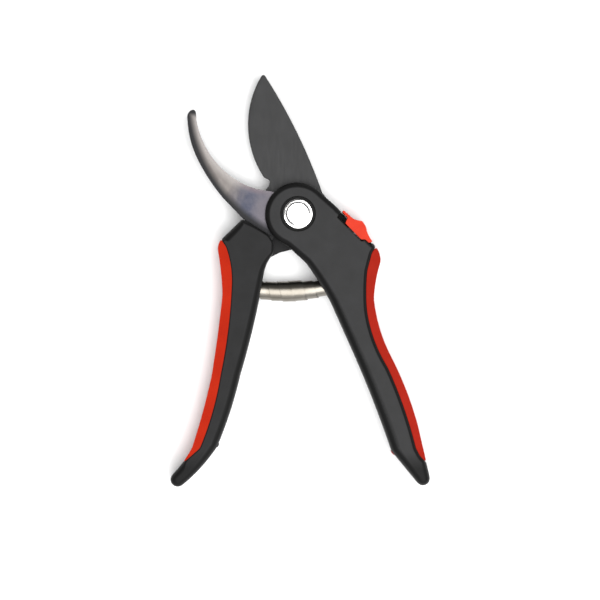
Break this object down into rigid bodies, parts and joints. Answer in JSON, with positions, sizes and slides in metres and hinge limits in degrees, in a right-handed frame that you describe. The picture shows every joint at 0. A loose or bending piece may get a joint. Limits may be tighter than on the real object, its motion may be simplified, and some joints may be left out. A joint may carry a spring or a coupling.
{
  "type": "bypass pruner",
  "caption": "One-handed bypass pruner: hooked steel counter blade, coated convex cutting blade, moulded handles with red soft strips, volute spring and sliding thumb catch.",
  "frame": {"origin": "on the pivot axis, at the flat back face of the pivot bolt and nut, which lies in the plane that the pruner rests on", "axes": "+Z out of the front face along the pivot axis, +Y from the pivot towards the cutting blade's tip, +X towards the handle with the thumb catch"},
  "size_m": [0.1253, 0.1994, 0.0187],
  "materials": {
    "handle_nylon": "fine matt grain",
    "soft_grip": "satin soft-touch",
    "hook_steel": "forged, worn polish on the inner face",
    "coated_blade": "satin non-stick coating",
    "dark_screws": "black zinc",
    "polished_steel": "polished",
    "black_washer": "black",
    "zinc_steel": "zinc plated",
    "spring_steel": "bright strip",
    "bronze": "sintered bronze",
    "catch_plastic": "satin"
  },
  "bodies": {
    "right_lever": {"right_handle": "handle_nylon", "right_grip": "soft_grip", "hook_blade": "hook_steel", "right_handle_screws": "dark_screws", "pivot_bolt": "polished_steel", "head_washer": "black_washer", "pivot_nut": "zinc_steel", "wave_washer": "zinc_steel", "catch_spring": "spring_steel", "volute_spring": "spring_steel"},
    "left_lever": {"left_handle": "handle_nylon", "left_grip": "soft_grip", "cutting_blade": "coated_blade", "left_handle_screws": "dark_screws", "pivot_bushing": "bronze"},
    "catch": {"thumb_catch": "catch_plastic", "catch_latch": "zinc_steel", "catch_pin": "zinc_steel"}
  },
  "joints": [
    {"name": "pivot", "type": "hinge", "parent": "right_lever", "child": "left_lever", "pos_m": [0, 0, 0], "axis": [0, 0, 1], "range_deg": [0, 34], "stiffness_Nm_per_rad": 1, "springref_deg": -17.19, "deforming": ["volute_spring"]},
    {"name": "catch_slide", "type": "slide", "parent": "right_lever", "child": "catch", "axis": [-0.7071, 0.7071, 0], "range_m": [0, 0.004]}
  ]
}
